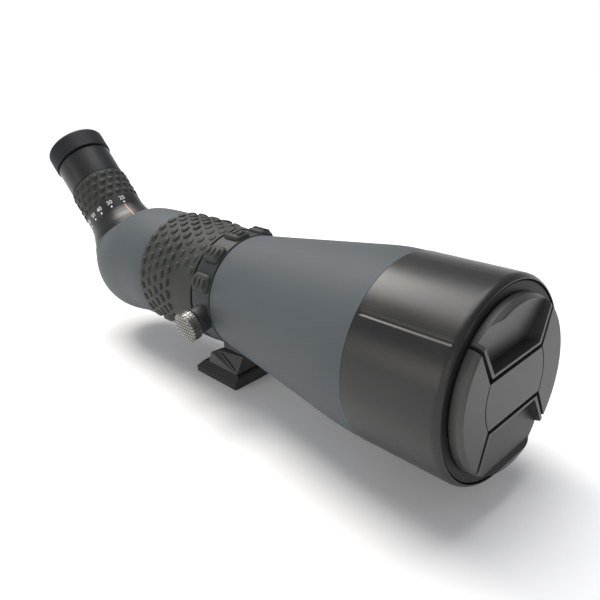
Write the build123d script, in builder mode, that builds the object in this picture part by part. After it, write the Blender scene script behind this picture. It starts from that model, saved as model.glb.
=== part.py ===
"""Angled 82 mm spotting scope with its rotating tripod collar, zoom eyepiece and snap-in front cap.

Frame: millimetres, +Z up, +X forward along the optical axis. The origin is the centre of the mounting foot's
bottom face, at the mouth of the tripod thread.
"""

import os
from math import cos, radians, sin

from build123d import *

os.makedirs("parts", exist_ok=True)

# ---- driving dimensions -------------------------------------------------------------------------------------
AXIS_Z = 65.0  # height of the optical axis above the foot's bottom face
FIT = 0.05  # gap between two pieces that are fixed to each other
RUN = 0.1  # radial gap between a shaft and what turns or slides on it
GAP = 0.3  # gap between other pieces that move past each other

# stations along the optical axis
HOUSING_END = -51.6  # front edge of the prism housing
RING_BACK, RING_FRONT = -51.2, 7.8  # focus ring
COLLAR_BACK, COLLAR_FRONT = 8.3, 25.7  # tripod collar
COLLAR_X = (COLLAR_BACK + COLLAR_FRONT) / 2
BODY_BACK, BODY_FLARE, BODY_FRONT = 26.2, 134.0, 147.7  # rubber armour on the main tube
HOOD_BACK, HOOD_FRONT = 148.2, 203.0  # sunshade, pushed home
TUBE_BACK, TUBE_FRONT = -55.0, 196.0  # main tube
CAP_SEAT, CAP_FACE = 203.3, 209.2  # cap rim and cap face

# radii about the optical axis
SHAFT_R = 33.0  # bearing surface under the focus ring and the collar
RING_CORE_R, RING_R = 35.0, 39.2
COLLAR_R = 37.5
BODY_BACK_R, BODY_FRONT_R = 37.2, 51.5
TUBE_BORE_R, TUBE_FRONT_R, TUBE_FRONT_BORE = 30.0, 49.0, 46.8
REAR_SPIGOT_R = 31.0
HOOD_R, HOOD_BORE = 52.0, 49.6
NOSE_R, FILTER_R = 49.2, 43.0
LENS_R = 42.4
CAP_R = 44.2

# eyepiece: its axis leaves the optical axis at EYE_X and leans back 45 degrees
EYE_X = -120.5
EYE_TILT = 45.0
EYE_DIR = (-cos(radians(EYE_TILT)), 0, sin(radians(EYE_TILT)))
SEAM = 13.0  # distance along the eyepiece axis to the housing's open end
BARREL_R, BARREL_BORE = 17.5, 15.5
SCALE_START, GRIP_START, GRIP_END = 29.2, 38.0, 64.0
SLEEVE_END, CUP_START, CUP_END = 88.0, 89.4, 104.5

# lock knob: its axis is radial, a little below the horizontal on the right-hand side
KNOB_DROP = 10.0
KNOB_DIR = (0, -cos(radians(KNOB_DROP)), -sin(radians(KNOB_DROP)))
KNOB_R, KNOB_START, KNOB_END = 9.8, 44.6, 52.0
BOSS_R, BOSS_END = 8.5, 44.2
STUD_R, SHOE_R = 3.0, 3.4

# foot
FOOT_LENGTH, FOOT_WIDTH = 43.0, 44.0
PLATE_Z, PEDESTAL_Z, NECK_Z = 8.5, 10.0, 21.6

# ---- reference planes ---------------------------------------------------------------------------------------
AXIAL = Plane(origin=(0, 0, AXIS_Z), x_dir=(1, 0, 0), z_dir=(0, -1, 0))  # local (station, radius)
EYE_AXIAL = Plane(origin=(EYE_X, 0, AXIS_Z), x_dir=EYE_DIR, z_dir=(0, 1, 0))
KNOB_AXIAL = Plane(origin=(COLLAR_X, 0, AXIS_Z), x_dir=KNOB_DIR, z_dir=Vector(KNOB_DIR).cross(Vector(1, 0, 0)))
KNOB_PLANE = Plane(origin=(COLLAR_X, 0, AXIS_Z), x_dir=(1, 0, 0), z_dir=KNOB_DIR)


def across(station):
    """Plane square to the optical axis, with local x to the left (+Y) and local y up."""
    return Plane(origin=(station, 0, AXIS_Z), x_dir=(0, 1, 0), z_dir=(1, 0, 0))


def eye_across(station):
    """Plane square to the eyepiece axis, with local x forward and local y to the left (+Y)."""
    return Plane(origin=(EYE_X, 0, AXIS_Z), x_dir=EYE_AXIAL.y_dir, z_dir=EYE_DIR).offset(station)


def save(builder, name):
    """Labels a finished piece and writes its STEP file."""
    builder.part.label = name
    export_step(builder.part, f"parts/{name}.step")


def turned(plane, points, rounds=()):
    """Solid of revolution about the plane's local x axis. rounds lists (point number, fillet radius)."""
    with BuildPart() as piece:
        with BuildSketch(plane) as profile:
            with BuildLine():
                Polyline(*points, close=True)
            make_face()
            for number, radius in rounds:
                fillet(profile.vertices().sort_by_distance((*points[number], 0))[0], radius)
        revolve(axis=Axis(plane.origin, plane.x_dir))
    return piece


def tube(plane, start, end, inner, outer):
    """Plain ring or tube about the plane's local x axis."""
    return turned(plane, [(start, inner), (end, inner), (end, outer), (start, outer)])


LENS_LAND = 2.1  # flat rim round each lens face, where the spacers and rings bear


def lens(plane, start, end, radius, bulge_start, bulge_end):
    """Lens whose flat rim runs from start to end. A positive bulge makes that face convex."""
    face_r = radius - LENS_LAND

    def half_way(edge, bulge, outward):
        ball_r = (face_r**2 + bulge**2) / (2 * abs(bulge))
        rise = (ball_r**2 - face_r**2 / 4) ** 0.5 - (ball_r**2 - face_r**2) ** 0.5
        return (edge + outward * rise * (1 if bulge > 0 else -1), face_r / 2)

    with BuildPart() as piece:
        with BuildSketch(plane):
            with BuildLine():
                ThreePointArc((start - bulge_start, 0), half_way(start, bulge_start, -1), (start, face_r))
                Line((start, face_r), (start, radius))
                Line((start, radius), (end, radius))
                Line((end, radius), (end, face_r))
                ThreePointArc((end, face_r), half_way(end, bulge_end, 1), (end + bulge_end, 0))
                Line((end + bulge_end, 0), (start - bulge_start, 0))
            make_face()
        revolve(axis=Axis(plane.origin, plane.x_dir))
    return piece


# ---- mounting foot ------------------------------------------------------------------------------------------
REAR_LOW, REAR_HIGH = (-10.5, 19.0, PEDESTAL_Z), (-9.0, 17.0, 17.0)
FRONT_LOW = (20.5, 19.0, PEDESTAL_Z)
FACET_REAR = (-5.0, 14.8, 19.0)
NECK_REAR, NECK_FRONT = (0.0, 12.0, NECK_Z), (21.5, 12.8, NECK_Z)


def on_side(p, side):
    """The point on the left (+1) or mirrored to the right (-1)."""
    return Vector(p[0], side * p[1], p[2])


def pedestal_solid():
    """Faceted web that narrows from the dovetail plate to the neck under the collar."""

    def pair(a, b):
        return [on_side(a, 1), on_side(b, 1), on_side(b, -1), on_side(a, -1)]

    outlines = [
        pair(REAR_LOW, FRONT_LOW),
        pair(REAR_LOW, REAR_HIGH),
        pair(REAR_HIGH, FACET_REAR),
        pair(FACET_REAR, NECK_REAR),
        pair(NECK_REAR, NECK_FRONT),
        pair(FRONT_LOW, NECK_FRONT),
    ]
    for side in (-1, 1):
        for corners in (
            (REAR_LOW, FRONT_LOW, REAR_HIGH),
            (REAR_HIGH, FRONT_LOW, FACET_REAR),
            (FACET_REAR, FRONT_LOW, NECK_FRONT),
            (FACET_REAR, NECK_FRONT, NECK_REAR),
        ):
            outlines.append([on_side(p, side) for p in corners])
    return Solid(Shell([Face(Wire.make_polygon(outline)) for outline in outlines]))


def facet_pocket(side):
    """Shallow triangular pocket inside the border of the large corner facet."""
    corners = [on_side(p, side) for p in (FACET_REAR, FRONT_LOW, NECK_FRONT)]
    middle = (corners[0] + corners[1] + corners[2]) / 3
    inner = [middle + (p - middle) * 0.74 for p in corners]
    normal = (inner[1] - inner[0]).cross(inner[2] - inner[0]).normalized()
    outward = normal if normal.Y * side > 0 else -normal
    base = Face(Wire.make_polygon([p - outward * 0.7 for p in inner]))
    return Solid.extrude(base, outward * 3)


THREAD_R, THREAD_LENGTH = 2.6, 9.0  # tapping radius of a 1/4 inch thread
BUSH_R = 4.75
PIN_HOLE_R, PIN_HOLE_DEPTH, PIN_HOLE_X = 2.3, 5.0, 14.0
SCREW_X = (-1.0, 7.0)
FOOT_SCREW_R, FOOT_SCREW_HEAD_R, FOOT_SCREW_Y = 1.75, 3.0, 8.0
SADDLE_TOP = AXIS_Z - 33.0
RING_CLEARANCE = RING_R + 2.2  # radius that the focus ring and its moulded studs turn in

with BuildPart() as foot:
    with BuildSketch():
        Rectangle(FOOT_LENGTH, FOOT_WIDTH)
    extrude(amount=PLATE_Z)
    top_edges = foot.faces().sort_by(Axis.Z)[-1].edges()
    chamfer(top_edges.filter_by(Axis.X) + [top_edges.filter_by(Axis.Y).sort_by(Axis.X)[0]], 4.3)
    chamfer(foot.faces().sort_by(Axis.Z)[-1].edges().sort_by(Axis.X)[-1], 1.5)
    with BuildSketch(Plane.XY.offset(PLATE_Z)):
        with Locations((4.5, 0)):
            Rectangle(27, 33)
    extrude(amount=PEDESTAL_Z - PLATE_Z)
    add(pedestal_solid())
    for side in (-1, 1):
        add(facet_pocket(side), mode=Mode.SUBTRACT)
    with BuildSketch(Plane.XY.offset(NECK_Z)):
        with Locations(((NECK_REAR[0] + COLLAR_FRONT) / 2, 0)):
            Rectangle(COLLAR_FRONT - NECK_REAR[0] - 0.2, 24.0)
    extrude(amount=SADDLE_TOP - NECK_Z)
    with BuildSketch(across(-30)):
        Circle(COLLAR_R + FIT)
    extrude(amount=120, mode=Mode.SUBTRACT)
    with BuildSketch(across(-30)):
        Circle(RING_CLEARANCE)
    extrude(amount=30 + COLLAR_BACK, mode=Mode.SUBTRACT)
    with BuildSketch():
        Circle(BUSH_R + FIT)
    extrude(amount=THREAD_LENGTH + FIT, mode=Mode.SUBTRACT)
    with BuildSketch():
        with Locations((PIN_HOLE_X, 0)):
            Circle(PIN_HOLE_R)
    extrude(amount=PIN_HOLE_DEPTH, mode=Mode.SUBTRACT)
    with BuildSketch():
        with Locations(*[(COLLAR_X, y) for y in (-FOOT_SCREW_Y, FOOT_SCREW_Y)]):
            Circle(FOOT_SCREW_HEAD_R + 0.2)
    extrude(amount=14.0, mode=Mode.SUBTRACT)
    with BuildSketch():
        with Locations(*[(COLLAR_X, y) for y in (-FOOT_SCREW_Y, FOOT_SCREW_Y)]):
            Circle(FOOT_SCREW_R + 0.1)
    extrude(amount=32.0, mode=Mode.SUBTRACT)
save(foot, "mounting_foot")

with BuildPart() as thread_bush:
    with BuildSketch():
        Circle(BUSH_R)
    extrude(amount=THREAD_LENGTH)
    with BuildSketch():
        Circle(THREAD_R)
    extrude(amount=THREAD_LENGTH, mode=Mode.SUBTRACT)
save(thread_bush, "thread_bush")

with BuildPart() as foot_screws:
    with BuildSketch(Plane.XY.offset(10.8)):
        with Locations(*[(COLLAR_X, y) for y in (-FOOT_SCREW_Y, FOOT_SCREW_Y)]):
            Circle(FOOT_SCREW_HEAD_R)
    extrude(amount=3.15)
    with BuildSketch(Plane.XY.offset(10.8)):
        with Locations(*[(COLLAR_X, y) for y in (-FOOT_SCREW_Y, FOOT_SCREW_Y)]):
            RegularPolygon(1.5, 6)
    extrude(amount=1.6, mode=Mode.SUBTRACT)
    with BuildSketch(Plane.XY.offset(13.95)):
        with Locations(*[(COLLAR_X, y) for y in (-FOOT_SCREW_Y, FOOT_SCREW_Y)]):
            Circle(FOOT_SCREW_R)
    extrude(amount=17.0)
save(foot_screws, "foot_screws")

# ---- tripod collar ------------------------------------------------------------------------------------------
LINER_R = 33.9

with BuildPart() as collar_ring:
    with BuildSketch(across(COLLAR_BACK)):
        Circle(COLLAR_R)
        Circle(LINER_R + FIT, mode=Mode.SUBTRACT)
    extrude(amount=COLLAR_FRONT - COLLAR_BACK)
    chamfer(collar_ring.edges().filter_by(GeomType.CIRCLE).group_by(SortBy.RADIUS)[-1], 0.5)
    with BuildSketch(KNOB_PLANE.offset(COLLAR_R - 1.5)):
        Circle(BOSS_R)
    extrude(amount=BOSS_END - COLLAR_R + 1.5)
    fillet(collar_ring.faces().sort_by(Axis(AXIAL.origin, KNOB_DIR))[-1].edges(), 1.5)
    with BuildSketch(KNOB_PLANE.offset(LINER_R - 1)):
        Circle(SHOE_R + 0.2)
    extrude(amount=4.2, mode=Mode.SUBTRACT)
    with BuildSketch(KNOB_PLANE.offset(LINER_R - 1)):
        Circle(STUD_R + RUN)
    extrude(amount=20, mode=Mode.SUBTRACT)
    with BuildSketch(Plane.XY.offset(26.0)):
        with Locations(*[(COLLAR_X, y) for y in (-FOOT_SCREW_Y, FOOT_SCREW_Y)]):
            Circle(FOOT_SCREW_R + FIT)
    extrude(amount=5.05, mode=Mode.SUBTRACT)
save(collar_ring, "collar_ring")

with BuildPart() as collar_liner:
    with BuildSketch(across(COLLAR_BACK + 0.4)):
        Circle(LINER_R)
        Circle(SHAFT_R + RUN, mode=Mode.SUBTRACT)
    extrude(amount=COLLAR_FRONT - COLLAR_BACK - 0.8)
    with BuildSketch(KNOB_PLANE.offset(30)):
        Circle(SHOE_R + 0.2)
    extrude(amount=8, mode=Mode.SUBTRACT)
save(collar_liner, "collar_liner")

PAD_ANGLES = [180 - a for a in (25, 55, 85, 115, 145, 175)] + [-27]  # measured from +Y, over the top
PAD_LENGTH, PAD_WIDTH, PAD_HEIGHT = 15.0, 11.0, 2.4
with BuildPart() as collar_pads:
    for angle in PAD_ANGLES:
        outward = (0, cos(radians(angle)), sin(radians(angle)))
        with BuildSketch(Plane(origin=(COLLAR_X, 0, AXIS_Z), x_dir=(1, 0, 0), z_dir=outward).offset(COLLAR_R - 1)):
            RectangleRounded(PAD_LENGTH, PAD_WIDTH, 2.4)
        extrude(amount=PAD_HEIGHT + 1, taper=8)
    with BuildSketch(across(COLLAR_BACK - 5)):
        Circle(COLLAR_R + 0.02)
    extrude(amount=30, mode=Mode.SUBTRACT)
save(collar_pads, "collar_pads")

# ---- lock knob, stud and clamp shoe -------------------------------------------------------------------------
save(tube(KNOB_AXIAL, SHAFT_R + 0.06, 36.0, 0, SHOE_R), "clamp_shoe")
save(
    turned(
        KNOB_AXIAL,
        [(36.05, 0), (49.0, 0), (49.0, STUD_R), (37.2, STUD_R), (36.6, STUD_R - 0.6), (36.05, STUD_R - 0.6)],
    ),
    "lock_stud",
)

KNURL_COUNT, KNURL_RINGS, KNURL_PITCH = 26, 3, 2.1
FACE_GROOVES, FACE_PITCH = 7, 2.3  # crossed grooves on the knob's end
with BuildPart() as lock_knob:
    with BuildSketch(KNOB_PLANE.offset(KNOB_START)):
        Circle(KNOB_R)
    extrude(amount=KNOB_END - KNOB_START)
    chamfer(lock_knob.faces().filter_by(GeomType.PLANE).edges(), 1.0)
    with BuildSketch(KNOB_PLANE.offset(KNOB_START)):
        Circle(STUD_R + FIT)
    extrude(amount=49.1 - KNOB_START, mode=Mode.SUBTRACT)
    with BuildSketch(KNOB_PLANE.offset(KNOB_START)):
        with PolarLocations(KNOB_R, KNURL_COUNT):
            Rectangle(1.2, 0.8)
    extrude(amount=KNOB_END - KNOB_START, mode=Mode.SUBTRACT)
    for number in range(KNURL_RINGS):
        with BuildSketch(KNOB_PLANE.offset(KNOB_START + 1.3 + number * KNURL_PITCH)):
            Circle(KNOB_R + 1)
            Circle(KNOB_R - 0.6, mode=Mode.SUBTRACT)
        extrude(amount=0.7, mode=Mode.SUBTRACT)
    with BuildSketch(KNOB_PLANE.offset(KNOB_END)):
        with GridLocations(FACE_PITCH, 0, FACE_GROOVES, 1):
            Rectangle(0.6, 3 * KNOB_R)
        with GridLocations(0, FACE_PITCH, 1, FACE_GROOVES):
            Rectangle(3 * KNOB_R, 0.6)
    extrude(amount=-0.4, mode=Mode.SUBTRACT)
save(lock_knob, "lock_knob")

# ---- main tube and armour -----------------------------------------------------------------------------------
CONE_START_R = 35.2
GROOVE = (184.0, 193.0)  # groove for the sunshade's friction band
FOCUS_SLOT = (-34.0, 16.0)
FOCUS_SLOT_WIDTH = 3.4

with BuildPart() as main_tube:
    with BuildSketch(AXIAL):
        with BuildLine():
            Polyline(
                (TUBE_BACK, REAR_SPIGOT_R),
                (-50.0, REAR_SPIGOT_R),
                (-50.0, SHAFT_R),
                (BODY_BACK - 0.2, SHAFT_R),
                (BODY_BACK - 0.2, CONE_START_R),
                (BODY_FLARE, TUBE_FRONT_R),
                (GROOVE[0], TUBE_FRONT_R),
                (GROOVE[0], 48.0),
                (GROOVE[1], 48.0),
                (GROOVE[1], TUBE_FRONT_R),
                (TUBE_FRONT, TUBE_FRONT_R),
                (TUBE_FRONT, TUBE_FRONT_BORE),
                (BODY_FLARE, TUBE_FRONT_BORE - 0.3),
                (28.0, TUBE_BORE_R),
                (TUBE_BACK, TUBE_BORE_R),
                close=True,
            )
        make_face()
    revolve(axis=Axis(AXIAL.origin, AXIAL.x_dir))
    with BuildSketch(Plane.XY.offset(AXIS_Z + 20)):
        with Locations(((FOCUS_SLOT[0] + FOCUS_SLOT[1]) / 2, 0)):
            SlotOverall(FOCUS_SLOT[1] - FOCUS_SLOT[0], FOCUS_SLOT_WIDTH)
    extrude(amount=20, mode=Mode.SUBTRACT)
save(main_tube, "main_tube")

save(
    turned(
        AXIAL,
        [
            (BODY_BACK, CONE_START_R + FIT),
            (BODY_FLARE, TUBE_FRONT_R + FIT),
            (BODY_FRONT, TUBE_FRONT_R + FIT),
            (BODY_FRONT, BODY_FRONT_R),
            (BODY_FLARE, BODY_FRONT_R),
            (BODY_BACK, BODY_BACK_R),
        ],
        rounds=[(4, 120.0), (5, 1.0)],
    ),
    "front_armour",
)
save(tube(AXIAL, GROOVE[0] + 0.1, GROOVE[1] - 0.1, 48.0 + FIT, HOOD_BORE - RUN), "sunshade_friction_band")

BAFFLES = ((40.0, 26.0), (66.0, 29.5), (92.0, 33.5))  # station and opening radius of each light baffle
BORE_SLOPE = (TUBE_FRONT_BORE - 0.3 - TUBE_BORE_R) / (BODY_FLARE - 28.0)
with BuildPart() as baffles:
    for station, opening in BAFFLES:
        rim = TUBE_BORE_R + BORE_SLOPE * (station - 28.0) - FIT
        with BuildSketch(across(station)):
            Circle(rim)
            Circle(opening, mode=Mode.SUBTRACT)
        extrude(amount=1.2)
save(baffles, "light_baffles")

# ---- prism housing: a lofted elbow --------------------------------------------------------------------------
ELBOW = [  # centre x, centre z, tilt, half height, half width of each section of the outer skin
    (HOUSING_END, 65.0, 0.0, 38.0, 38.0),
    (-73.0, 64.0, 1.5, 39.2, 38.4),
    (-92.5, 61.9, 6.3, 40.9, 38.0),
    (-111.0, 61.2, 15.8, 40.4, 36.8),
    (-122.0, 65.0, 26.6, 35.8, 33.6),
    (EYE_X + SEAM * EYE_DIR[0], AXIS_Z + SEAM * EYE_DIR[2], EYE_TILT, 28.5, 28.5),
]


def elbow(inset):
    """Solid elbow, smaller all round by inset."""
    with BuildPart() as piece:
        for x, z, tilt, half_height, half_width in ELBOW:
            normal = (-cos(radians(tilt)), 0, sin(radians(tilt)))
            with BuildSketch(Plane(origin=(x, 0, z), x_dir=(0, 1, 0), z_dir=normal)):
                Ellipse(half_width - inset, half_height - inset)
        loft()
    return piece.part


ARMOUR_T, CASTING_T = 2.0, 2.5
FLANGE_BACK = -55.0
CAGE_SCREW_CIRCLE, CAGE_SCREW_R, CAGE_SCREW_HEAD_R = 32.3, 0.8, 1.2
with BuildPart() as rear_armour:
    add(elbow(0))
    add(elbow(ARMOUR_T), mode=Mode.SUBTRACT)
save(rear_armour, "rear_armour")

with BuildPart() as prism_housing:
    add(elbow(ARMOUR_T + FIT))
    add(elbow(ARMOUR_T + CASTING_T), mode=Mode.SUBTRACT)
    with BuildSketch(across(FLANGE_BACK)):
        Circle(34.6)
        Circle(REAR_SPIGOT_R + FIT, mode=Mode.SUBTRACT)
    extrude(amount=HOUSING_END - FLANGE_BACK)
    with BuildSketch(across(FLANGE_BACK)):
        with PolarLocations(CAGE_SCREW_CIRCLE, 3, start_angle=90):
            Circle(CAGE_SCREW_R + FIT)
    extrude(amount=3.0, mode=Mode.SUBTRACT)
save(prism_housing, "prism_housing")

# ---- erecting prism and its cage ----------------------------------------------------------------------------
PRISM_FACE, PRISM_HALF_WIDTH = 36.0, 13.0
PRISM_X = EYE_X + 0.2071 * PRISM_FACE  # places the exit face on the eyepiece axis
APEX_Z = AXIS_Z + PRISM_FACE / 2
SIDE = PRISM_FACE * cos(radians(45))
PRISM_OUTLINE = [(PRISM_X, APEX_Z), (PRISM_X, APEX_Z - PRISM_FACE), (PRISM_X - SIDE, APEX_Z - SIDE)]

with BuildPart() as prism:
    with BuildSketch(Plane.XZ.offset(-PRISM_HALF_WIDTH)):
        with BuildLine():
            Polyline(*PRISM_OUTLINE, close=True)
        make_face()
    extrude(amount=2 * PRISM_HALF_WIDTH)
    roof = prism.edges().filter_by(lambda e: abs(e.tangent_at(0.5).Y) < 0.1)
    roof = roof.sort_by(Axis((PRISM_X, 0, APEX_Z), (-0.38, 0, -0.92)))[-2:]
    chamfer(roof, 4.0)
save(prism, "erecting_prism")

CAGE_T = 2.0
CAGE_BACK, CAGE_FRONT = -59.0, FLANGE_BACK - FIT
with BuildPart() as cage:
    with BuildSketch(across(CAGE_BACK)):
        Circle(33.2)
        Circle(16.0, mode=Mode.SUBTRACT)
    extrude(amount=CAGE_FRONT - CAGE_BACK)
    for wall_start in (-PRISM_HALF_WIDTH - FIT - CAGE_T, PRISM_HALF_WIDTH + FIT):
        with BuildSketch(Plane.XZ.offset(-wall_start)):
            with BuildLine():
                Polyline(
                    (CAGE_BACK + 2, AXIS_Z + 15),
                    (CAGE_BACK + 2, AXIS_Z - 15),
                    (PRISM_X - 2, AXIS_Z - 17),
                    (PRISM_X - SIDE + 4, APEX_Z - SIDE - 1),
                    (PRISM_X - 2, AXIS_Z + 14),
                    close=True,
                )
            make_face()
        extrude(amount=-CAGE_T)
    with BuildSketch(across(CAGE_BACK)):
        with PolarLocations(CAGE_SCREW_CIRCLE, 3, start_angle=90):
            Circle(CAGE_SCREW_R + FIT)
    extrude(amount=8, mode=Mode.SUBTRACT)
save(cage, "prism_cage")

with BuildPart() as clip_plate:
    with BuildSketch(across(PRISM_X + FIT)):
        Rectangle(2 * PRISM_HALF_WIDTH, 30)
        Circle(11.0, mode=Mode.SUBTRACT)
    extrude(amount=1.0)
save(clip_plate, "prism_clip_plate")

with BuildPart() as cage_screws:
    with BuildSketch(across(CAGE_BACK - 1.3)):
        with PolarLocations(CAGE_SCREW_CIRCLE, 3, start_angle=90):
            Circle(CAGE_SCREW_HEAD_R)
    extrude(amount=1.3 - 0.02)
    with BuildSketch(across(CAGE_BACK - 1.3)):
        with PolarLocations(CAGE_SCREW_CIRCLE, 3, start_angle=90):
            Circle(CAGE_SCREW_R)
    extrude(amount=8.0)
save(cage_screws, "cage_screws")

# ---- objective ----------------------------------------------------------------------------------------------
CELL_BACK = 150.0
save(
    turned(
        AXIAL,
        [
            (CELL_BACK, 40.0),
            (CELL_BACK + 2, 40.0),
            (CELL_BACK + 2, LENS_R + FIT),
            (TUBE_FRONT, LENS_R + FIT),
            (TUBE_FRONT, TUBE_FRONT_BORE - FIT),
            (CELL_BACK, 46.5 - FIT),
        ],
    ),
    "objective_cell",
)
save(lens(AXIAL, 153.6, 159.6, LENS_R, -1.4, 2.6), "objective_rear_lens")
save(lens(AXIAL, 162.4, 167.8, LENS_R, -1.8, -1.4), "objective_middle_lens")
save(lens(AXIAL, 172.0, 177.6, LENS_R, 3.4, 3.4), "objective_front_lens")
with BuildPart() as spacers:
    for start, end in ((CELL_BACK + 2.05, 153.55), (159.65, 162.35), (167.85, 171.95)):
        with BuildSketch(across(start)):
            Circle(LENS_R)
            Circle(LENS_R - 1.6, mode=Mode.SUBTRACT)
        extrude(amount=end - start)
save(spacers, "lens_spacers")
save(tube(AXIAL, 177.7, 181.7, 40.6, LENS_R), "lens_retaining_ring")
save(
    turned(
        AXIAL,
        [
            (TUBE_FRONT + FIT, FILTER_R),
            (HOOD_FRONT - 1.4, FILTER_R),
            (HOOD_FRONT - 0.4, FILTER_R + 1.0),
            (HOOD_FRONT - 0.4, NOSE_R - 0.6),
            (HOOD_FRONT - 1.0, NOSE_R),
            (TUBE_FRONT + FIT, NOSE_R),
        ],
    ),
    "front_ring",
)

# ---- sunshade -----------------------------------------------------------------------------------------------
LIP_R, LIP_X = HOOD_R - 1.9, 4.4  # rounded front lip
CHANNEL_ANGLE, CHANNEL_R, CHANNEL_RISE = 43.0, 2.5, 1.5  # sighting groove
CHANNEL = (151.0, 198.8)
CHANNEL_CENTRE = HOOD_R + CHANNEL_RISE

with BuildPart() as sunshade:
    with BuildSketch(AXIAL):
        with BuildLine():
            Line((HOOD_BACK, HOOD_BORE), (HOOD_FRONT, HOOD_BORE))
            Line((HOOD_FRONT, HOOD_BORE), (HOOD_FRONT, LIP_R))
            ThreePointArc((HOOD_FRONT, LIP_R), (HOOD_FRONT - 1.5, HOOD_R - 0.65), (HOOD_FRONT - LIP_X, HOOD_R))
            Line((HOOD_FRONT - LIP_X, HOOD_R), (HOOD_BACK, HOOD_R - 0.2))
            Line((HOOD_BACK, HOOD_R - 0.2), (HOOD_BACK, HOOD_BORE))
        make_face()
    revolve(axis=Axis(AXIAL.origin, AXIAL.x_dir))
    y = -CHANNEL_CENTRE * cos(radians(CHANNEL_ANGLE))
    z = AXIS_Z + CHANNEL_CENTRE * sin(radians(CHANNEL_ANGLE))
    with BuildSketch(Plane(origin=(CHANNEL[0], y, z), x_dir=(0, 1, 0), z_dir=(1, 0, 0))):
        Circle(CHANNEL_R)
    extrude(amount=CHANNEL[1] - CHANNEL[0], mode=Mode.SUBTRACT)
    with Locations(*[(x, y, z) for x in CHANNEL]):
        Sphere(CHANNEL_R, mode=Mode.SUBTRACT)
save(sunshade, "sunshade")

# ---- front cap ----------------------------------------------------------------------------------------------
BAR_HALF, LEVER_START, LEVER_HALF = 11.9, 14.2, 21.0  # centre bar, and the inner edge of each pinch lever
LEVER_RIM_HALF = LEVER_HALF + 0.49 * (CAP_R - LEVER_START)
SLOT_W = 1.6
LEVER_BACK, PLATE_BACK, BACK_PLATE_FRONT = 200.9, 206.2, 200.6
SPRING_X, SPRING_Y, SPRING_R, WIRE_R = 203.4, 13.0, 1.5, 0.25
SEAT_HALF = 1.2  # half thickness of the web that the springs push against
CAP_OUTLINE = [
    (CAP_SEAT, FILTER_R - GAP),
    (CAP_SEAT, CAP_R),
    (CAP_FACE - 2.6, CAP_R - 0.3),
    (CAP_FACE - 0.6, CAP_R - 1.3),
    (CAP_FACE, CAP_R - 2.0),
    (CAP_FACE, 0),
]


def lever_outline(up, inner, widen):
    """Trapezoid of a pinch lever, from its inner edge out past the rim. widen moves each side out."""
    Polygon(
        (-LEVER_HALF - widen, up * inner),
        (LEVER_HALF + widen, up * inner),
        (LEVER_RIM_HALF + widen, up * (CAP_R + 1)),
        (-LEVER_RIM_HALF - widen, up * (CAP_R + 1)),
        align=None,
    )


cap_shell = turned(
    AXIAL, [(199.3, 40.6), (199.3, FILTER_R - GAP)] + CAP_OUTLINE + [(PLATE_BACK, 0), (PLATE_BACK, 40.6)]
)
with BuildPart() as cap_body:
    add(cap_shell)
    with BuildSketch(across(BACK_PLATE_FRONT + FIT)):
        Rectangle(56, 2 * SEAT_HALF)
    extrude(amount=PLATE_BACK - BACK_PLATE_FRONT)
    with BuildSketch(across(199)):
        lever_outline(1, BAR_HALF, SLOT_W)
        lever_outline(-1, BAR_HALF, SLOT_W)
    extrude(amount=12, mode=Mode.SUBTRACT)
    with BuildSketch(across(CAP_FACE - 0.5)):
        Circle(25.6)
        Circle(24.9, mode=Mode.SUBTRACT)
        Rectangle(60, 2 * BAR_HALF, mode=Mode.INTERSECT)
    extrude(amount=1, mode=Mode.SUBTRACT)
save(cap_body, "cap_body")
save(tube(AXIAL, 199.3, BACK_PLATE_FRONT, 0, 40.55), "cap_back_plate")

cap_blank = turned(AXIAL, [(LEVER_BACK, 0), (LEVER_BACK, FILTER_R - GAP)] + CAP_OUTLINE)
WELL_START, WELL_END = LEVER_START + 1.4, 38.5
for side_name, up in (("upper", 1), ("lower", -1)):
    with BuildPart() as finger_well:
        with BuildSketch(across(LEVER_BACK)):
            lever_outline(up, WELL_START, -1.5)
        extrude(amount=12)
        with BuildSketch(Plane.XZ.offset(-40)):
            with BuildLine():
                Polyline(
                    (CAP_FACE + 1, AXIS_Z + up * WELL_START),
                    (LEVER_BACK + 1.4, AXIS_Z + up * WELL_START),
                    (CAP_FACE - 2.4, AXIS_Z + up * WELL_END),
                    (CAP_FACE + 1, AXIS_Z + up * (WELL_END + 2)),
                    close=True,
                )
            make_face()
        extrude(amount=80, mode=Mode.INTERSECT)
    with BuildPart() as lever:
        with BuildSketch(across(LEVER_BACK)):
            lever_outline(up, LEVER_START, 0)
        extrude(amount=12)
        add(cap_blank, mode=Mode.INTERSECT)
        add(finger_well, mode=Mode.SUBTRACT)
    save(lever, f"cap_lever_{side_name}")
    spring_start = SEAT_HALF + WIRE_R + 0.1
    spring_length = LEVER_START - 2 * WIRE_R - 0.2 - SEAT_HALF
    with BuildPart() as springs:
        for y in (-SPRING_Y, SPRING_Y):
            z = AXIS_Z + (spring_start if up > 0 else -spring_start - spring_length)
            with BuildLine(Plane(origin=(SPRING_X, y, z))):
                coil = Helix(pitch=2.0, height=spring_length, radius=SPRING_R)
            with BuildSketch(Plane(origin=coil @ 0, z_dir=coil % 0)):
                Circle(WIRE_R)
            sweep(path=coil, is_frenet=True)
    save(springs, f"cap_springs_{side_name}")

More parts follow.
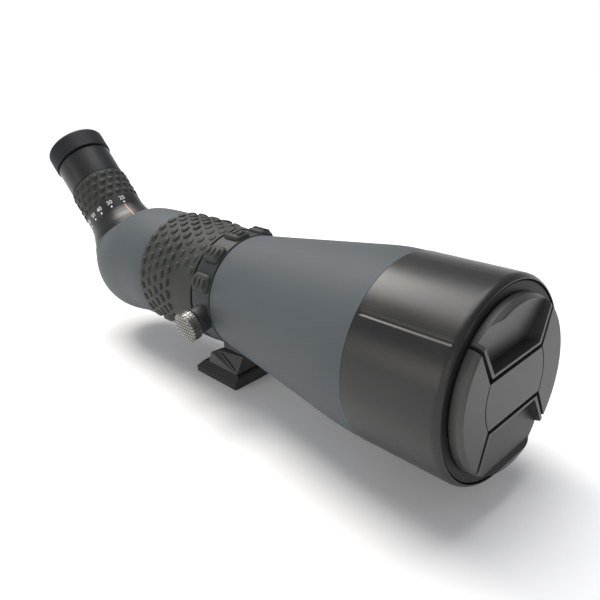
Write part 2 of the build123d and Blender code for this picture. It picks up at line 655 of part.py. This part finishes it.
# ---- focus ring and focusing carriage -----------------------------------------------------------------------
save(tube(AXIAL, RING_BACK + 1.4, RING_FRONT - 0.4, SHAFT_R + RUN, RING_CORE_R), "focus_ring_core")
save(
    turned(
        AXIAL,
        [
            (RING_BACK, RING_CORE_R + FIT),
            (RING_FRONT, RING_CORE_R + FIT),
            (RING_FRONT, COLLAR_R + 0.6),
            (RING_FRONT - 14, RING_R - 0.6),
            (RING_BACK + 12, RING_R),
            (RING_BACK, RING_R - 0.4),
        ],
        rounds=[(5, 1.2), (2, 0.5)],
    ),
    "focus_grip",
)
CARRIAGE = (-26.0, -6.0)
save(
    turned(
        AXIAL,
        [
            (CARRIAGE[0], 19.0),
            (CARRIAGE[0] + 2, 19.0),
            (CARRIAGE[0] + 2, 21.0),
            (CARRIAGE[1], 21.0),
            (CARRIAGE[1], TUBE_BORE_R - 2 * RUN),
            (CARRIAGE[0], TUBE_BORE_R - 2 * RUN),
        ],
    ),
    "focus_carriage",
)
save(lens(AXIAL, -20.0, -14.0, 21.0 - FIT, -2.0, -1.2), "focus_lens")
save(tube(AXIAL, -13.9, -11.4, 19.0, 21.0 - FIT), "focus_lens_ring")
with BuildPart() as drive_pin:
    with BuildSketch(Plane.XY.offset(AXIS_Z + TUBE_BORE_R - 0.1)):
        with Locations((sum(CARRIAGE) / 2, 0)):
            Circle(1.6)
    extrude(amount=2.8)
save(drive_pin, "focus_drive_pin")

# ---- eyepiece: fixed pieces ---------------------------------------------------------------------------------
INDEX_Y, INDEX_W = -1.6, 0.9  # copper index line on the flared collar
SPIGOT_R, SPIGOT_START = 23.6, 9.0


def flare(inset, bore):
    """Flared collar between the housing and the zoom ring, smaller outside by inset."""
    outline = [
        (SPIGOT_START, bore),
        (SCALE_START - GAP, bore),
        (SCALE_START - GAP, 23.1 - inset),
        (26.5, 23.5 - inset),
        (23.0, 24.5 - inset),
        (18.5, 26.2 - inset),
        (SEAM + 0.1, 27.7 - inset),
        (SEAM + 0.1, SPIGOT_R - inset),
        (SPIGOT_START, SPIGOT_R - inset),
    ]
    return turned(EYE_AXIAL, outline, rounds=[(4, 14.0), (5, 14.0)])


flare_outside = flare(0, BARREL_R + FIT)
flare_inside = flare(0.4, BARREL_R + FIT)
with BuildPart() as index_line:
    with BuildSketch(eye_across(SEAM + 0.6)):
        with Locations((24.0, INDEX_Y)):
            Rectangle(9.0, INDEX_W)
    extrude(amount=14.8)
    add(flare_outside, mode=Mode.INTERSECT)
    add(flare_inside, mode=Mode.SUBTRACT)
save(index_line, "index_line")
with BuildPart() as eyepiece_collar:
    add(flare_outside)
    add(index_line, mode=Mode.SUBTRACT)
save(eyepiece_collar, "eyepiece_collar")

ZOOM_TRACKS = ((38.0, 4.0), (54.0, -3.0))  # pin station at rest, and how far it travels
PIN_R = 1.2
SHOULDER, LENS_SEAT, BARREL_END = 70.0, 72.0, 88.0
with BuildPart() as eyepiece_barrel:
    add(
        turned(
            EYE_AXIAL,
            [
                (SPIGOT_START, BARREL_BORE),
                (SHOULDER, BARREL_BORE),
                (SHOULDER, 14.0),
                (LENS_SEAT, 14.0),
                (LENS_SEAT, BARREL_BORE),
                (BARREL_END, BARREL_BORE),
                (BARREL_END, BARREL_R),
                (SPIGOT_START, BARREL_R),
            ],
        )
    )
    for station, travel in ZOOM_TRACKS:
        middle = station + travel / 2
        with BuildSketch(Plane(EYE_AXIAL.origin, x_dir=EYE_DIR, z_dir=EYE_AXIAL.y_dir).offset(10)):
            with Locations((middle, 0)):
                SlotOverall(abs(travel) + 2 * PIN_R + 0.4, 2 * PIN_R + 0.2)
        extrude(amount=10, mode=Mode.SUBTRACT)
save(eyepiece_barrel, "eyepiece_barrel")

save(tube(EYE_AXIAL, 16.0, 17.5, 10.5, BARREL_BORE - FIT), "field_stop")
save(lens(EYE_AXIAL, LENS_SEAT + FIT, 76.5, BARREL_BORE - FIT, 1.6, 1.8), "field_lens")
save(lens(EYE_AXIAL, 81.0, 84.8, BARREL_BORE - FIT, 1.8, 1.2), "eye_lens")
save(tube(EYE_AXIAL, 76.55, 80.95, 14.2, BARREL_BORE - FIT), "eye_lens_spacer")
save(tube(EYE_AXIAL, 84.85, 87.6, 13.6, BARREL_BORE - FIT), "eye_lens_ring")
save(
    turned(
        EYE_AXIAL,
        [
            (GRIP_END + 0.5, BARREL_R + FIT),
            (GRIP_END + 2.0, BARREL_R + FIT),
            (GRIP_END + 2.0, 20.0),
            (SLEEVE_END, 20.0),
            (SLEEVE_END, 21.4),
            (SLEEVE_END - 0.5, 21.9),
            (GRIP_END + 0.5, 21.9),
        ],
    ),
    "eyepiece_sleeve",
)

# ---- eyepiece: zoom ring and its carriages ------------------------------------------------------------------
ZOOM_CORE_R = 19.6
save(
    turned(
        EYE_AXIAL,
        [
            (SCALE_START, BARREL_R + RUN),
            (33.0, BARREL_R + RUN),
            (33.0, 18.7),
            (60.0, 18.7),
            (60.0, BARREL_R + RUN),
            (GRIP_END, BARREL_R + RUN),
            (GRIP_END, ZOOM_CORE_R),
            (GRIP_START, ZOOM_CORE_R),
            (GRIP_START, 22.6),
            (SCALE_START, 22.6),
        ],
    ),
    "zoom_ring_core",
)
save(
    turned(
        EYE_AXIAL,
        [
            (GRIP_START + FIT, ZOOM_CORE_R + FIT),
            (GRIP_END, ZOOM_CORE_R + FIT),
            (GRIP_END, 22.3),
            (GRIP_START + FIT, 22.3),
        ],
        rounds=[(2, 0.8)],
    ),
    "zoom_grip",
)
for (station, travel), carriage_name, lens_name, bulge in zip(
    ZOOM_TRACKS, ("front", "rear"), ("front", "rear"), (-1.2, 1.6)
):
    start, end = station - 4, station + 4
    shape = turned(
        EYE_AXIAL,
        [
            (start, 11.0),
            (start + 1.5, 11.0),
            (start + 1.5, 13.0),
            (end, 13.0),
            (end, BARREL_BORE - RUN),
            (start, BARREL_BORE - RUN),
        ],
    )
    with BuildPart() as zoom_carriage:
        add(shape)
        with BuildSketch(Plane(EYE_AXIAL.origin, x_dir=EYE_DIR, z_dir=EYE_AXIAL.y_dir).offset(13.6)):
            with Locations((station, 0)):
                Circle(PIN_R)
        extrude(amount=4.8)
    save(zoom_carriage, f"zoom_carriage_{carriage_name}")
    save(lens(EYE_AXIAL, start + 1.6, end - 2.2, 13.0 - FIT, bulge, bulge), f"zoom_lens_{lens_name}")

# ---- eyepiece: twist-up eyecup ------------------------------------------------------------------------------
save(tube(EYE_AXIAL, 70.0, 75.8, BARREL_R + RUN, 20.0 - RUN), "eyecup_guide")
save(
    turned(
        EYE_AXIAL,
        [
            (76.0, BARREL_R + RUN),
            (101.5, BARREL_R + RUN),
            (101.5, 21.0),
            (CUP_START - 0.4, 21.0),
            (CUP_START - 0.4, 20.0 - RUN),
            (76.0, 20.0 - RUN),
        ],
    ),
    "eyecup_core",
)
save(
    turned(
        EYE_AXIAL,
        [
            (CUP_START - 0.4, 21.0 + FIT),
            (101.5 + FIT, 21.0 + FIT),
            (101.5 + FIT, 17.2),
            (CUP_END, 17.8),
            (CUP_END, 23.1),
            (CUP_START - 0.4, 23.1),
        ],
        rounds=[(4, 2.0), (5, 0.6)],
    ),
    "eyecup_rubber",
)
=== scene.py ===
"""Looks of the angled spotting scope: materials, moulded detail, markings, floor, lights and camera."""

import random
from math import cos, pi, radians, sin

import bpy
from mathutils import Matrix, Vector


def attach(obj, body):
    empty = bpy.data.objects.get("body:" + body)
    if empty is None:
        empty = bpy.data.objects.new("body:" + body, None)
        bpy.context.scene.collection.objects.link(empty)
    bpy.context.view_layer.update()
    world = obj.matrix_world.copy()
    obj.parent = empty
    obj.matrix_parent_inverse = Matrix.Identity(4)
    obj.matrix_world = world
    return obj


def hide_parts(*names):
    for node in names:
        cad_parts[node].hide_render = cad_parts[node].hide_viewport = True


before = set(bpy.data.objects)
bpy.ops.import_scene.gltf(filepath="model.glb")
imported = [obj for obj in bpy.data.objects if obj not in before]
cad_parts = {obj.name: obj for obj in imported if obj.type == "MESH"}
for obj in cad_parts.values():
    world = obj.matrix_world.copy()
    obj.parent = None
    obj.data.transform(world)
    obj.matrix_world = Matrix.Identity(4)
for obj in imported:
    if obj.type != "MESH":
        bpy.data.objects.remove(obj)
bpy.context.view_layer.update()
rng = random.Random(82)

# ---- geometry repeated from the model, in metres ---------------------------------------------------------
AXIS = Vector((0, 0, 0.065))
EYE_ORIGIN = Vector((-0.1205, 0, 0.065))
EYE_DIR = Vector((-cos(pi / 4), 0, sin(pi / 4)))
EYE_UP = Vector((sin(pi / 4), 0, cos(pi / 4)))
SIDE = Vector((0, 1, 0))


def on_tube(x, r, degrees):
    """Point on a circle round the optical axis, the angle measured from +Y over the top."""
    return AXIS + Vector((x, r * cos(radians(degrees)), r * sin(radians(degrees))))


def on_eyepiece(s, r, degrees):
    """Point on a circle round the eyepiece axis, the angle measured from its front towards -Y."""
    a = radians(degrees)
    return EYE_ORIGIN + EYE_DIR * s + EYE_UP * (r * cos(a)) - SIDE * (r * sin(a))


# ---- materials -------------------------------------------------------------------------------------------
SHADER = "Principled BSDF"
MOTTLE_DETAIL, GRAIN_DETAIL = 4.0, 2.0
TINT_FROM, TINT_TO = 0.3, 0.7  # share of the slow noise over which the colour changes
SMOOTHEST, ROUGHEST = 0.03, 1.0


def material(name, colour, rough, vary=0.12, grain=900.0, bump=0.15, metallic=0.0, coat=0.0, rough_vary=0.08,
             specular=0.5, distance=0.0002, large=35.0):
    """Procedural finish: slow mottling of colour and gloss, and a fine grain in the surface."""
    m = bpy.data.materials.new(name)
    m.use_nodes = True
    tree = m.node_tree
    shader = tree.nodes[SHADER]
    shader.inputs["Metallic"].default_value = metallic
    shader.inputs["Coat Weight"].default_value = coat
    shader.inputs["Specular IOR Level"].default_value = specular
    place = tree.nodes.new("ShaderNodeTexCoord")
    slow = tree.nodes.new("ShaderNodeTexNoise")
    slow.inputs["Scale"].default_value = large
    slow.inputs["Detail"].default_value = MOTTLE_DETAIL
    fine = tree.nodes.new("ShaderNodeTexNoise")
    fine.inputs["Scale"].default_value = grain
    fine.inputs["Detail"].default_value = GRAIN_DETAIL
    tint = tree.nodes.new("ShaderNodeValToRGB")
    low, high = tint.color_ramp.elements
    low.position, high.position = TINT_FROM, TINT_TO
    low.color = (*[c * (1 - vary) for c in colour], 1)
    high.color = (*[c * (1 + vary) for c in colour], 1)
    gloss = tree.nodes.new("ShaderNodeMapRange")
    gloss.inputs["To Min"].default_value = max(rough - rough_vary, SMOOTHEST)
    gloss.inputs["To Max"].default_value = min(rough + rough_vary, ROUGHEST)
    relief = tree.nodes.new("ShaderNodeBump")
    relief.inputs["Strength"].default_value = bump
    relief.inputs["Distance"].default_value = distance
    link = tree.links.new
    link(place.outputs["Object"], slow.inputs["Vector"])
    link(place.outputs["Object"], fine.inputs["Vector"])
    link(slow.outputs["Fac"], tint.inputs["Fac"])
    link(tint.outputs["Color"], shader.inputs["Base Color"])
    link(slow.outputs["Fac"], gloss.inputs["Value"])
    link(gloss.outputs["Result"], shader.inputs["Roughness"])
    link(fine.outputs["Fac"], relief.inputs["Height"])
    link(relief.outputs["Normal"], shader.inputs["Normal"])
    return m


def glass(name, tint):
    """Smooth clear material for a lens or a prism."""
    m = material(name, tint, 0.04, vary=0.03, bump=0.0, rough_vary=0.01, coat=1.0)
    m.node_tree.nodes[SHADER].inputs["Transmission Weight"].default_value = 0.9
    return m


ARMOUR = material("armour_rubber", (0.058, 0.069, 0.078), 0.62, vary=0.04, grain=1500, bump=0.2,
                  specular=0.35)
GRIP = material("grip_rubber", (0.027, 0.030, 0.027), 0.6, vary=0.12, grain=1300, bump=0.35, specular=0.3)
COLLAR = material("collar_coating", (0.017, 0.020, 0.023), 0.5, vary=0.1, grain=1800, bump=0.15,
                  specular=0.35)
HOOD = material("hood_anodised", (0.012, 0.012, 0.0115), 0.33, vary=0.12, grain=2600, bump=0.08,
                rough_vary=0.03, specular=0.4)
CAP = material("cap_plastic", (0.0351, 0.0358, 0.0338), 0.42, vary=0.12, grain=2200, bump=0.22)
FOOT = material("foot_anodised", (0.016, 0.016, 0.015), 0.36, vary=0.15, grain=2200, bump=0.12)
KNOB = material("knob_metal", (0.24, 0.24, 0.225), 0.34, vary=0.3, grain=1800, bump=0.2, metallic=0.8)
TUBE = material("eyepiece_anodised", (0.013, 0.014, 0.014), 0.36, vary=0.12, grain=2400, bump=0.1,
                specular=0.4)
CUP = material("eyecup_rubber", (0.004, 0.005, 0.007), 0.6, vary=0.15, grain=1500, bump=0.3, specular=0.3)
RING = material("front_ring_paint", (0.006, 0.006, 0.006), 0.5, vary=0.15, grain=2000, bump=0.15,
                specular=0.25)
ALLOY = material("dull_alloy", (0.16, 0.16, 0.165), 0.45, vary=0.12, grain=1500, bump=0.15, metallic=0.9)
BLACKED = material("blackened_alloy", (0.02, 0.02, 0.02), 0.6, vary=0.2, grain=1500, bump=0.2)
STEEL = material("steel", (0.5, 0.5, 0.5), 0.3, vary=0.08, grain=1500, bump=0.1, metallic=1.0)
BRASS = material("brass", (0.6, 0.42, 0.18), 0.35, vary=0.1, grain=1500, bump=0.1, metallic=1.0)
COPPER = material("index_copper", (0.50, 0.20, 0.13), 0.4, vary=0.1, grain=1500, bump=0.05)
WHITE = material("marking_white", (0.72, 0.72, 0.70), 0.55, vary=0.05, grain=1500, bump=0.05)
CLEAR = glass("coated_glass", (0.75, 0.85, 0.80))
CROWN = glass("prism_glass", (0.86, 0.9, 0.9))

FINISH = {
    ARMOUR: "front_armour rear_armour",
    GRIP: "collar_pads focus_grip zoom_grip",
    CUP: "eyecup_rubber",
    COLLAR: "collar_ring",
    HOOD: "sunshade",
    CAP: "cap_body cap_back_plate cap_lever_upper cap_lever_lower",
    FOOT: "mounting_foot",
    KNOB: "lock_knob",
    TUBE: "eyepiece_collar eyepiece_sleeve zoom_ring_core eyecup_core",
    RING: "front_ring",
    ALLOY: "focus_ring_core prism_housing prism_cage main_tube",
    BLACKED: "light_baffles objective_cell lens_spacers lens_retaining_ring focus_carriage focus_lens_ring"
    " eyepiece_barrel field_stop eye_lens_spacer eye_lens_ring zoom_carriage_front zoom_carriage_rear"
    " eyecup_guide collar_liner sunshade_friction_band",
    STEEL: "thread_bush foot_screws lock_stud cage_screws prism_clip_plate cap_springs_upper"
    " cap_springs_lower focus_drive_pin",
    BRASS: "clamp_shoe",
    COPPER: "index_line",
    CLEAR: "objective_front_lens objective_middle_lens objective_rear_lens focus_lens field_lens eye_lens"
    " zoom_lens_front zoom_lens_rear",
    CROWN: "erecting_prism",
}
for finish, names in FINISH.items():
    for name in names.split():
        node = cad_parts[name]
        node.data.materials.clear()
        node.data.materials.append(finish)


# ---- moulded detail --------------------------------------------------------------------------------------
SHOULDER, CROWN_ROUND = 0.45, 0.8  # powers that give a stud its full shoulder and rounded top


def piece(name, verts, faces, finish, body):
    """New mesh object that rides on a body."""
    mesh = bpy.data.meshes.new(name)
    mesh.from_pydata([tuple(v) for v in verts], [], faces)
    mesh.materials.append(finish)
    for polygon in mesh.polygons:
        polygon.use_smooth = True
    obj = bpy.data.objects.new(name, mesh)
    bpy.context.collection.objects.link(obj)
    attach(obj, body)
    return obj


def stud(place, half_u, half_v, height, verts, faces, square=3.2, rings=5, spokes=20, sink=0.0006):
    """Adds one rounded-square stud. place(u, v, h) maps its own coordinates on to the surface."""
    first = len(verts)
    for ring in range(rings - 1):
        t = ring / (rings - 1) * pi / 2
        spread, rise = cos(t) ** SHOULDER, sin(t) ** CROWN_ROUND
        for spoke in range(spokes):
            a = 2 * pi * spoke / spokes
            c, s = cos(a), sin(a)
            reach = (abs(c) ** square + abs(s) ** square) ** (-1 / square)
            verts.append(place(half_u * spread * reach * c, half_v * spread * reach * s,
                               rise * (height + sink) - sink))
    verts.append(place(0, 0, height))
    for ring in range(rings - 2):
        for spoke in range(spokes):
            a = first + ring * spokes + spoke
            b = first + ring * spokes + (spoke + 1) % spokes
            faces.append((a, b, b + spokes, a + spokes))
    top, last = len(verts) - 1, first + (rings - 2) * spokes
    for spoke in range(spokes):
        faces.append((last + spoke, last + (spoke + 1) % spokes, top))


def tube_place(x0, r0, degrees0):
    """Lays flat coordinates round the optical axis, starting from a station, radius and angle."""
    return lambda u, v, h: on_tube(x0 + u, r0 + h, degrees0 + v / r0 * 180 / pi)


def eye_place(s0, r0, degrees0):
    """Lays flat coordinates round the eyepiece axis, starting from a station, radius and angle."""
    return lambda u, v, h: on_eyepiece(s0 + u, r0 + h, degrees0 + v / r0 * 180 / pi)


def staggered(number, column, per_turn):
    """Angle of a stud when every other column is turned by half a step."""
    return (number + 0.5 * (column % 2)) * 360 / per_turn


def varied(share):
    """Random size near 1, up to this share larger or smaller."""
    return 1 - share + 2 * share * rng.random()


# studs on the focus ring: staggered columns at the back, running further forward over the top
FOCUS_PER_TURN, FOCUS_COLUMNS, FOCUS_FULL_COLUMNS = 28, 8, 5
FOCUS_FIRST_X, FOCUS_PITCH = -0.0476, 0.0073
FOCUS_TOP_FROM, FOCUS_TOP_TO = 72, 150  # degrees over the top where the forward columns have studs
FOCUS_R, FOCUS_TAPER_R, FOCUS_TAPER, FOCUS_TAPER_COLUMN = 0.0390, 0.0392, 0.0003, 2
FOCUS_SEAT = 0.0003  # how far each stud is let into the rubber
FOCUS_STUD = (0.0025, 0.0030, 0.0016)  # half length, half width, height
verts, faces = [], []
for column in range(FOCUS_COLUMNS):
    x = FOCUS_FIRST_X + column * FOCUS_PITCH
    full = column < FOCUS_FULL_COLUMNS
    for number in range(FOCUS_PER_TURN):
        degrees = staggered(number, column, FOCUS_PER_TURN)
        if not full and not FOCUS_TOP_FROM < degrees < FOCUS_TOP_TO:
            continue
        r = FOCUS_R if full else FOCUS_TAPER_R - FOCUS_TAPER * (column - FOCUS_TAPER_COLUMN)
        grow = varied(0.1)
        half_u, half_v, height = FOCUS_STUD
        stud(tube_place(x, r - FOCUS_SEAT, degrees), half_u * grow, half_v * grow, height, verts, faces,
             square=2.6)
studs = piece("focus_grip_studs", verts, faces, GRIP, "focus_ring")

# studs on the zoom grip
ZOOM_PER_TURN, ZOOM_COLUMNS = 20, 4
ZOOM_FIRST_S, ZOOM_PITCH, ZOOM_R = 0.0424, 0.0060, 0.0221
ZOOM_STUD = (0.0019, 0.0024, 0.0011)  # half length, half width, height
verts, faces = [], []
for column in range(ZOOM_COLUMNS):
    s = ZOOM_FIRST_S + column * ZOOM_PITCH
    for number in range(ZOOM_PER_TURN):
        degrees = staggered(number, column, ZOOM_PER_TURN)
        grow = varied(0.15)
        half_u, half_v, height = ZOOM_STUD
        stud(eye_place(s, ZOOM_R, degrees), half_u * grow, half_v * grow, height, verts, faces, spokes=16,
             square=2.6)
studs = piece("zoom_grip_studs", verts, faces, GRIP, "zoom_ring")

# raised pads round the collar, each with bumps moulded on top
PAD_ANGLES = (155, 125, 95, 65, 35, 5, -27)
PAD_X, PAD_R, PAD_TOP_R = 0.017, 0.0374, 0.0401
PAD_SIZE, PAD_BUMP_SIZE = (0.0079, 0.0060, 0.0030), (0.0018, 0.0034, 0.0013)  # half length, half width, height
PAD_BUMPS = (-0.0043, 0.0, 0.0043)
verts, faces = [], []
for degrees in PAD_ANGLES:
    stud(tube_place(PAD_X, PAD_R, degrees), *PAD_SIZE, verts, faces, square=4.5, spokes=32, rings=7)
    for u in PAD_BUMPS:
        stud(tube_place(PAD_X + u, PAD_TOP_R, degrees), *PAD_BUMP_SIZE, verts, faces, square=2.4)
pads = piece("collar_pads_moulded", verts, faces, GRIP, "mount_collar")
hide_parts("collar_pads")


# ---- markings on the zoom scale --------------------------------------------------------------------------
DOTS = ((1.3, "25"), (28.4, "30"), (52.6, "40"), (72.0, "50"), (95.4, "70"))
DOT_S, DOT_R, DOT_HALF, DOT_HEIGHT, DOT_SINK = 0.0311, 0.0226, 0.00085, 0.00006, 0.0001
NUMBER_S, NUMBER_R, NUMBER_SIZE, NUMBER_THICK = 0.0349, 0.02266, 0.0046, 0.00004


def wrapped_text(word, s0, degrees0, size, r, name, body):
    """Number wrapped round the eyepiece axis, its top towards the eyecup."""
    curve = bpy.data.curves.new(name, "FONT")
    curve.body = word
    curve.size = size
    curve.align_x, curve.align_y = "CENTER", "CENTER"
    curve.extrude = NUMBER_THICK
    source = bpy.data.objects.new(name + "_source", curve)
    bpy.context.collection.objects.link(source)
    bpy.context.view_layer.update()
    flat = bpy.data.meshes.new_from_object(source)
    bpy.data.objects.remove(source)
    for vertex in flat.vertices:
        x, y, z = vertex.co
        vertex.co = on_eyepiece(s0 + y, r + z, degrees0 - x / r * 180 / pi)
    flat.materials.clear()
    flat.materials.append(WHITE)
    obj = bpy.data.objects.new(name, flat)
    bpy.context.collection.objects.link(obj)
    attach(obj, body)


verts, faces = [], []
for degrees, number in DOTS:
    stud(eye_place(DOT_S, DOT_R, degrees), DOT_HALF, DOT_HALF, DOT_HEIGHT, verts, faces, square=2.0,
         sink=DOT_SINK)
    wrapped_text(number, NUMBER_S, degrees, NUMBER_SIZE, NUMBER_R, f"zoom_number_{number}", "zoom_ring")
dots = piece("zoom_dots", verts, faces, WHITE, "zoom_ring")

# ---- floor, light and camera -----------------------------------------------------------------------------
FLOOR_SIZE, FLOOR_Z = 400, -0.0002
bpy.ops.mesh.primitive_plane_add(size=FLOOR_SIZE, location=(0, 0, FLOOR_Z))
floor = bpy.context.object
floor.name = "floor"
floor.data.materials.append(
    material("floor_white", (0.95, 0.95, 0.95), 0.9, vary=0.003, grain=60, bump=0.0, specular=0.0)
)

HORIZON, OVERHEAD = (1.1, 1.1, 1.1, 1), (0.30, 0.31, 0.33, 1)
HORIZON_END, OVERHEAD_START = 0.03, 0.25  # heights between which the sky changes
scene = bpy.context.scene
scene.view_settings.view_transform = "Standard"
world = bpy.data.worlds.new("studio")
world.use_nodes = True
sky = world.node_tree.nodes["Background"]
where = world.node_tree.nodes.new("ShaderNodeTexCoord")
split = world.node_tree.nodes.new("ShaderNodeSeparateXYZ")
fade = world.node_tree.nodes.new("ShaderNodeValToRGB")
near, high = fade.color_ramp.elements
near.position, high.position = HORIZON_END, OVERHEAD_START
near.color, high.color = HORIZON, OVERHEAD
world.node_tree.links.new(where.outputs["Generated"], split.inputs["Vector"])
world.node_tree.links.new(split.outputs["Z"], fade.inputs["Fac"])
world.node_tree.links.new(fade.outputs["Color"], sky.inputs["Color"])
scene.world = world

SUN_POWER, SUN_SPREAD, SUN_FROM = 2.4, 50, Vector((-0.25, 0.15, 1))
sun_data = bpy.data.lights.new("sun", "SUN")
sun_data.energy = SUN_POWER
sun_data.angle = radians(SUN_SPREAD)
sun = bpy.data.objects.new("sun", sun_data)
sun.rotation_euler = SUN_FROM.to_track_quat("Z", "Y").to_euler()
bpy.context.collection.objects.link(sun)


def softbox(name, location, target, size, power, colour):
    """Rectangular light that faces a target."""
    data = bpy.data.lights.new(name, "AREA")
    data.shape = "RECTANGLE"
    data.size, data.size_y = size
    data.energy = power
    data.color = colour
    obj = bpy.data.objects.new(name, data)
    obj.location = location
    obj.rotation_euler = (Vector(target) - Vector(location)).to_track_quat("-Z", "Y").to_euler()
    bpy.context.collection.objects.link(obj)


softbox("side", (0.9, -1.0, 0.55), (0.1, 0, 0.06), (0.7, 0.5), 1.8, (1.0, 0.97, 0.92))
softbox("back strip", (-0.50, 0.08, 0.78), (0.17, 0, 0.06), (0.5, 0.28), 5.0, (1.0, 0.95, 0.86))
softbox("low fill", (-0.1, -0.9, 0.35), (0.05, -0.1, 0.0), (0.8, 0.3), 2.0, (1.0, 0.97, 0.92))

SENSOR_MM, LENS_MM = 36.0, 39.35
CLIP_NEAR, CLIP_FAR = 0.01, 20
DISTANCE = 0.391876
data = bpy.data.cameras.new("camera")
data.sensor_width = SENSOR_MM
data.lens = LENS_MM
data.clip_start, data.clip_end = CLIP_NEAR, CLIP_FAR
camera = bpy.data.objects.new("camera", data)
RIGHT = Vector((0.69113, 0.71943, -0.06909))
UP = Vector((-0.24503, 0.32318, 0.91409))
BACK = Vector((0.67994, -0.61481, 0.39963))
TARGET = Vector((0.06776, 0, 0.07087))
turn = Matrix((RIGHT, UP, BACK)).transposed().to_4x4()
camera.matrix_world = Matrix.Translation(TARGET + BACK * DISTANCE) @ turn
bpy.context.collection.objects.link(camera)
scene.camera = camera
